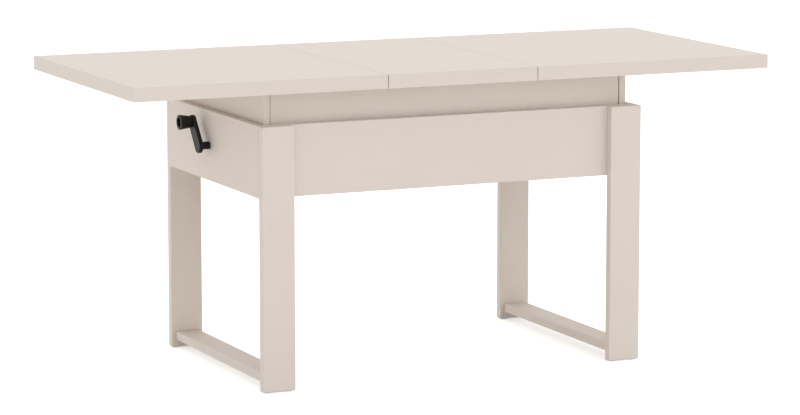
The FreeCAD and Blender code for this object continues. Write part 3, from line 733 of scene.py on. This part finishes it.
def screw_sizes(points, along=None):
    """Head centre, outward direction, head radius, head height, shank radius and length of one screw."""
    low = Vector([min(point[axis] for point in points) for axis in range(3)])
    high = Vector([max(point[axis] for point in points) for axis in range(3)])
    size = high - low
    if along is None:
        along = max(range(3), key=lambda axis: size[axis])
    across = (along + 1) % 3
    middle = (low + high) / 2
    rim = size[across] * HEAD_RIM
    wide = [point[along] for point in points if abs(point[across] - middle[across]) > rim]
    head_above = min(wide) > middle[along]
    top = middle.copy()
    top[along] = high[along] if head_above else low[along]
    outward = Vector((0.0, 0.0, 0.0))
    outward[along] = 1.0 if head_above else -1.0
    head = max(wide) - min(wide)
    narrow = [abs(point[across] - middle[across]) for point in points
              if abs(point[along] - top[along]) > head * PAST_HEAD]
    return {"top": top, "outward": outward, "head_radius": size[across] / 2, "head": head,
            "shank_radius": max(narrow), "length": size[along]}


def model_screw(sizes, tip_share):
    """One screw with a domed head, a hex socket, a shank and a tip; its head's top is at the origin."""
    deselect()
    head_radius = sizes["head_radius"]
    head = sizes["head"]
    bpy.ops.mesh.primitive_cylinder_add(vertices=SCREW_SIDES, radius=head_radius, depth=head,
                                        location=(0.0, 0.0, -head / 2))
    bpy.ops.object.mode_set(mode="EDIT")
    pick_faces(lambda face: face.normal.z > FACING)
    bpy.ops.mesh.bevel(offset=head * HEAD_ROUNDING, segments=ROUNDING_STEPS, affect="EDGES")
    pick_faces(lambda face: face.normal.z < -FACING)
    bpy.ops.mesh.inset(thickness=head_radius - sizes["shank_radius"])
    shank = sizes["length"] - head
    tip = sizes["shank_radius"] * (1.0 - tip_share) * TIP_TAPER
    extrude(0.0, tip - shank)
    extrude(0.0, -tip)
    bpy.ops.transform.resize(value=(tip_share, tip_share, 1.0))
    bpy.ops.object.mode_set(mode="OBJECT")
    screw = bpy.context.object
    deselect()
    socket_radius = head_radius * fittings().socket_share
    bpy.ops.mesh.primitive_cylinder_add(vertices=SOCKET_SIDES, radius=socket_radius, depth=head * SOCKET_CUT,
                                        location=(0.0, 0.0, 0.0))
    cutter = bpy.context.object
    deselect()
    screw.select_set(True)
    bpy.context.view_layer.objects.active = screw
    socket = screw.modifiers.new("socket", "BOOLEAN")
    socket.operation = "DIFFERENCE"
    socket.object = cutter
    bpy.ops.object.modifier_apply(modifier=socket.name)
    bpy.data.objects.remove(cutter)
    return settle(screw, "screw")


def model_shaft_cap():
    """Push-on cap, its brim on the XY plane, its dome facing +Z."""
    deselect()
    sizes = fittings()
    bpy.ops.mesh.primitive_cylinder_add(vertices=CAP_SIDES, radius=sizes.cap_radius, depth=sizes.cap_wall,
                                        location=(0.0, 0.0, sizes.cap_wall / 2))
    bpy.ops.object.mode_set(mode="EDIT")
    pick_faces(lambda face: face.normal.z > FACING)
    bpy.ops.mesh.inset(thickness=sizes.cap_radius * CAP_BRIM)
    extrude(0.0, sizes.cap_dome)
    bpy.ops.mesh.bevel(offset=sizes.cap_radius * CAP_ROUNDING, segments=ROUNDING_STEPS, affect="EDGES")
    bpy.ops.object.mode_set(mode="OBJECT")
    return settle(bpy.context.object, "cap")


def copy_to(model, place, outward, name):
    """Copy of a modelled piece with its own mesh, its +Z turned outward at a place."""
    piece = model.copy()
    piece.data = model.data.copy()
    piece.name = name
    bpy.context.scene.collection.objects.link(piece)
    turn = UP.rotation_difference(outward).to_matrix().to_4x4()
    piece.data.transform(Matrix.Translation(place) @ turn)
    return piece


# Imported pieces
class TABLE_OT_laminate_boards(bpy.types.Operator):
    """Finish the top, base and lift box boards in matt laminate."""

    bl_idname = "table.laminate_boards"
    bl_label = "Laminate boards"

    def execute(self, context):
        for node in TOP_BOARDS + BASE_BOARDS + BOX_BOARDS:
            dress([node], laminate_board(node))
        return {"FINISHED"}


class TABLE_OT_timbers(bpy.types.Operator):
    """Finish the hidden beams, cross rails, dowels and cleats as planed timber."""

    bl_idname = "table.timbers"
    bl_label = "Timbers"

    def execute(self, context):
        dress(CROSS_TIMBERS, timber("softwood_across", QUARTER_TURN))
        dress(LONG_TIMBERS, timber("softwood_along", NO_TURN))
        return {"FINISHED"}


class TABLE_OT_plated_steel(bpy.types.Operator):
    """Finish the pivot shafts, the drive tube and the corner brackets in zinc plate."""

    bl_idname = "table.plated_steel"
    bl_label = "Plated steel"

    def execute(self, context):
        dress(CROSS_SHAFTS, plated_steel("zinc_across", (1.0, 0.03, 1.0)))
        dress(SMALL_STEEL, plated_steel("zinc_plain"))
        return {"FINISHED"}


class TABLE_OT_coated_steel(bpy.types.Operator):
    """Finish the scissor, its channels, the bearings and the nut in powder coat."""

    bl_idname = "table.coated_steel"
    bl_label = "Coated steel"

    def execute(self, context):
        dress(CHANNELS, powder_coat("powder_coat_channel", rolled=True))
        dress(COATED_PARTS, powder_coat("powder_coat_plain", rolled=False))
        return {"FINISHED"}


class TABLE_OT_runners(bpy.types.Operator):
    """Finish the runner rails and sliders as extruded aluminium."""

    bl_idname = "table.runners"
    bl_label = "Runners"

    def execute(self, context):
        dress(RUNNERS, extruded_aluminium("aluminium_mill_finish"))
        return {"FINISHED"}


class TABLE_OT_crank(bpy.types.Operator):
    """Finish the crank and its grip as satin black mouldings."""

    bl_idname = "table.crank"
    bl_label = "Crank"

    def execute(self, context):
        dress(MOULDINGS, moulded_plastic("black_moulding"))
        return {"FINISHED"}


class TABLE_OT_nylon_parts(bpy.types.Operator):
    """Finish glides, pads, rollers and the crank's bush in natural nylon."""

    bl_idname = "table.nylon_parts"
    bl_label = "Nylon parts"

    def execute(self, context):
        dress(NYLON_PARTS, natural_nylon("nylon_natural"))
        return {"FINISHED"}


# Modelled fittings
class TABLE_OT_spindle(bpy.types.Operator):
    """Model the lifting spindle with its thread, journals and collars."""

    bl_idname = "table.spindle"
    bl_label = "Spindle"

    def execute(self, context):
        sizes = fittings()
        low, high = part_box("spindle")
        bush_low, bush_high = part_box("crank_bush")
        bearing_low, bearing_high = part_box("thrust_bearing")
        axis = (bush_low + bush_high) / 2
        radius = sizes.spindle_radius
        lead = sizes.thread_lead
        play = sizes.collar_play
        collar_end = play + sizes.collar_width
        thread_start = bearing_high.x + collar_end + sizes.thread_start_gap
        turns = int((high.x - sizes.thread_end_gap - thread_start) / lead)
        thread_end = thread_start + turns * lead
        bars = [turned_bar(low.x, thread_start + lead, axis, radius, sizes.spindle_chamfer),
                turned_bar(thread_end, high.x, axis, radius, sizes.spindle_chamfer),
                turned_bar(bearing_low.x - collar_end, bearing_low.x - play, axis, sizes.collar_radius,
                           sizes.collar_chamfer),
                turned_bar(bearing_high.x + play, bearing_high.x + collar_end, axis, sizes.collar_radius,
                           sizes.collar_chamfer),
                screw_thread(thread_start, turns, axis, sizes.thread_root, radius, lead)]
        finish_piece(join_pieces(bars, "threaded_spindle"), "crank", plated_steel("zinc_spindle"), "spindle")
        return {"FINISHED"}


class TABLE_OT_screws(bpy.types.Operator):
    """Model every screw with a domed head and a hex socket, one piece for each group."""

    bl_idname = "table.screws"
    bl_label = "Screws"

    def execute(self, context):
        steel = plated_steel("zinc_screws")
        for node, body in SCREW_GROUPS.items():
            copies = []
            models = {}
            for sizes in screw_places(node):
                kind = round(sizes["length"], LENGTH_DIGITS)
                if kind not in models:
                    models[kind] = model_screw(sizes, SCREW_TIP)
                copies.append(copy_to(models[kind], sizes["top"], sizes["outward"], node + "_copy"))
            for model in models.values():
                bpy.data.objects.remove(model)
            finish_piece(join_pieces(copies, node + "_with_sockets"), body, steel, node)
        return {"FINISHED"}


class TABLE_OT_shoulder_bolts(bpy.types.Operator):
    """Model the bolt that the grip spins on and the bolts at the scissor's centre."""

    bl_idname = "table.shoulder_bolts"
    bl_label = "Shoulder bolts"

    def execute(self, context):
        steel = plated_steel("zinc_bolts")
        for node, (body, along) in SHOULDER_BOLTS.items():
            places = screw_places(node, along)
            model = model_screw(places[0], BOLT_TIP)
            copies = [copy_to(model, sizes["top"], sizes["outward"], node + "_copy") for sizes in places]
            bpy.data.objects.remove(model)
            finish_piece(join_pieces(copies, node + "_bolts"), body, steel, node)
        return {"FINISHED"}


class TABLE_OT_shaft_caps(bpy.types.Operator):
    """Model push-on caps over the ends of both pivot shafts."""

    bl_idname = "table.shaft_caps"
    bl_label = "Shaft caps"

    def execute(self, context):
        steel = plated_steel("zinc_caps")
        model = model_shaft_cap()
        for shaft, (body, channel) in CAPPED_SHAFTS.items():
            low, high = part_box(shaft)
            middle = (low + high) / 2
            front_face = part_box("front_" + channel)[0].y
            rear_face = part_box("rear_" + channel)[1].y
            caps = [copy_to(model, Vector((middle.x, front_face, middle.z)), FRONT, "cap_front"),
                    copy_to(model, Vector((middle.x, rear_face, middle.z)), REAR, "cap_rear")]
            finish_piece(join_pieces(caps, shaft + "_caps"), body, steel)
        bpy.data.objects.remove(model)
        return {"FINISHED"}


# Stage
def direct_rays(tree):
    """1 for camera, glossy and transmission rays."""
    path = tree.nodes.new("ShaderNodeLightPath")
    kinds = ("Is Camera Ray", "Is Glossy Ray", "Is Transmission Ray")
    return fold(tree, "MAXIMUM", [path.outputs[kind] for kind in kinds])


def studio_floor(sizes):
    """Wide pale floor that keeps the table's shadow, is brightened for the camera and is open from below."""
    deselect()
    bpy.ops.mesh.primitive_plane_add(size=sizes.floor_size, location=(0.0, 0.0, 0.0))
    floor = bpy.context.object
    floor.name = "studio_floor"
    material, tree, shader = new_material("studio_floor")
    shader.inputs["Base Color"].default_value = tuple(sizes.floor)
    shader.inputs["Roughness"].default_value = 0.9
    shader.inputs["Specular IOR Level"].default_value = 0.0
    shader.inputs["Emission Color"].default_value = WHITE
    lift = spread(tree, direct_rays(tree), start=0.0, end=sizes.floor_lift)
    tree.links.new(lift, shader.inputs["Emission Strength"])
    clear = tree.nodes.new("ShaderNodeBsdfTransparent")
    below = tree.nodes.new("ShaderNodeNewGeometry")
    pick = tree.nodes.new("ShaderNodeMixShader")
    connect_all(tree, pick, below.outputs["Backfacing"], shader.outputs["BSDF"], clear.outputs["BSDF"])
    tree.links.new(pick.outputs["Shader"], tree.nodes["Material Output"].inputs["Surface"])
    floor.data.materials.append(material)


def sky_side(tree, look, side, light):
    """Light that is full on one side of the surround and fades away from it."""
    facing = calc(tree, "MAXIMUM", vector_calc(tree, "DOT_PRODUCT", look, side), 0.0)
    return calc(tree, "MULTIPLY", facing, light)


def studio_sky(sizes):
    """White surround with more light at the rear, front and right, and pure white where it is seen."""
    world = bpy.data.worlds.new("studio_sky")
    world.use_nodes = True
    tree = world.node_tree
    look = tree.nodes.new("ShaderNodeTexCoord").outputs["Generated"]
    seen = direct_rays(tree)
    plain = fold(tree, "ADD", [sky_side(tree, look, FRONT, sizes.sky_front),
                               sky_side(tree, look, RIGHT, sizes.sky_right), sizes.sky_even])
    surround = tree.nodes["Background"]
    surround.inputs["Color"].default_value = WHITE
    tree.links.new(spread(tree, seen, start=plain, end=1.0), surround.inputs["Strength"])
    rear = tree.nodes.new("ShaderNodeBackground")
    rear.inputs["Color"].default_value = tuple(sizes.sky_tint)
    behind = sky_side(tree, look, REAR, sizes.sky_rear)
    tree.links.new(spread(tree, seen, start=behind, end=0.0), rear.inputs["Strength"])
    both = tree.nodes.new("ShaderNodeAddShader")
    connect_all(tree, both, surround.outputs["Background"], rear.outputs["Background"])
    tree.links.new(both.outputs["Shader"], tree.nodes["World Output"].inputs["Surface"])
    bpy.context.scene.world = world


def top_panel(sizes):
    """Square soft panel overhead, turned to its target."""
    bpy.ops.object.light_add(type="AREA", location=sizes.lamp_place)
    lamp = bpy.context.object
    lamp.name = "top_panel"
    aim = Vector(sizes.lamp_target) - Vector(sizes.lamp_place)
    lamp.rotation_euler = aim.to_track_quat("-Z", "Y").to_euler()
    lamp.data.shape = "SQUARE"
    lamp.data.size = sizes.lamp_size
    lamp.data.energy = sizes.lamp_power


def studio_camera(sizes):
    """Camera that looks along +Y, turned by its yaw and pitch."""
    bpy.ops.object.camera_add(location=sizes.camera_place,
                              rotation=(math.pi / 2 - sizes.camera_pitch, 0.0, -sizes.camera_yaw))
    camera = bpy.context.object
    camera.name = "studio_camera"
    camera.data.sensor_fit = "HORIZONTAL"
    camera.data.sensor_width = sizes.camera_sensor
    camera.data.lens = sizes.camera_lens
    bpy.context.scene.camera = camera


class TABLE_OT_stage(bpy.types.Operator):
    """Set the floor, the surround, the lamp and the camera."""

    bl_idname = "table.stage"
    bl_label = "Stage"

    def execute(self, context):
        sizes = context.scene.table_stage
        studio_floor(sizes)
        studio_sky(sizes)
        top_panel(sizes)
        studio_camera(sizes)
        context.scene.view_settings.view_transform = "Standard"
        return {"FINISHED"}


# Panel and registration
PIECE_OPERATORS = (TABLE_OT_laminate_boards, TABLE_OT_timbers, TABLE_OT_plated_steel, TABLE_OT_coated_steel,
                   TABLE_OT_runners, TABLE_OT_crank, TABLE_OT_nylon_parts, TABLE_OT_spindle, TABLE_OT_screws,
                   TABLE_OT_shoulder_bolts, TABLE_OT_shaft_caps, TABLE_OT_stage)


class TABLE_PT_panel(bpy.types.Panel):
    """Lists the table's pieces and settings."""

    bl_idname = "TABLE_PT_panel"
    bl_label = "Crank lift table"
    bl_space_type = "VIEW_3D"
    bl_region_type = "UI"
    bl_category = "Table"

    def draw(self, context):
        for operator in PIECE_OPERATORS:
            self.layout.operator(operator.bl_idname)
        scene = context.scene
        for settings in (scene.table_finishes, scene.table_fittings, scene.table_stage):
            box = self.layout.box()
            for name in settings.__annotations__:
                box.prop(settings, name)


CLASSES = (TableFinishes, TableFittings, TableStage) + PIECE_OPERATORS + (TABLE_PT_panel,)


def register():
    """Make the settings, operators and panel known."""
    for entry in CLASSES:
        bpy.utils.register_class(entry)
    bpy.types.Scene.table_finishes = bpy.props.PointerProperty(type=TableFinishes)
    bpy.types.Scene.table_fittings = bpy.props.PointerProperty(type=TableFittings)
    bpy.types.Scene.table_stage = bpy.props.PointerProperty(type=TableStage)


def unregister():
    """Take the settings, operators and panel away."""
    del bpy.types.Scene.table_stage
    del bpy.types.Scene.table_fittings
    del bpy.types.Scene.table_finishes
    for entry in reversed(CLASSES):
        bpy.utils.unregister_class(entry)


def main():
    """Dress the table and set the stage."""
    register()
    bpy.ops.table.laminate_boards()
    bpy.ops.table.timbers()
    bpy.ops.table.plated_steel()
    bpy.ops.table.coated_steel()
    bpy.ops.table.runners()
    bpy.ops.table.crank()
    bpy.ops.table.nylon_parts()
    bpy.ops.table.spindle()
    bpy.ops.table.screws()
    bpy.ops.table.shoulder_bolts()
    bpy.ops.table.shaft_caps()
    bpy.ops.table.stage()


if __name__ == "__main__":
    main()
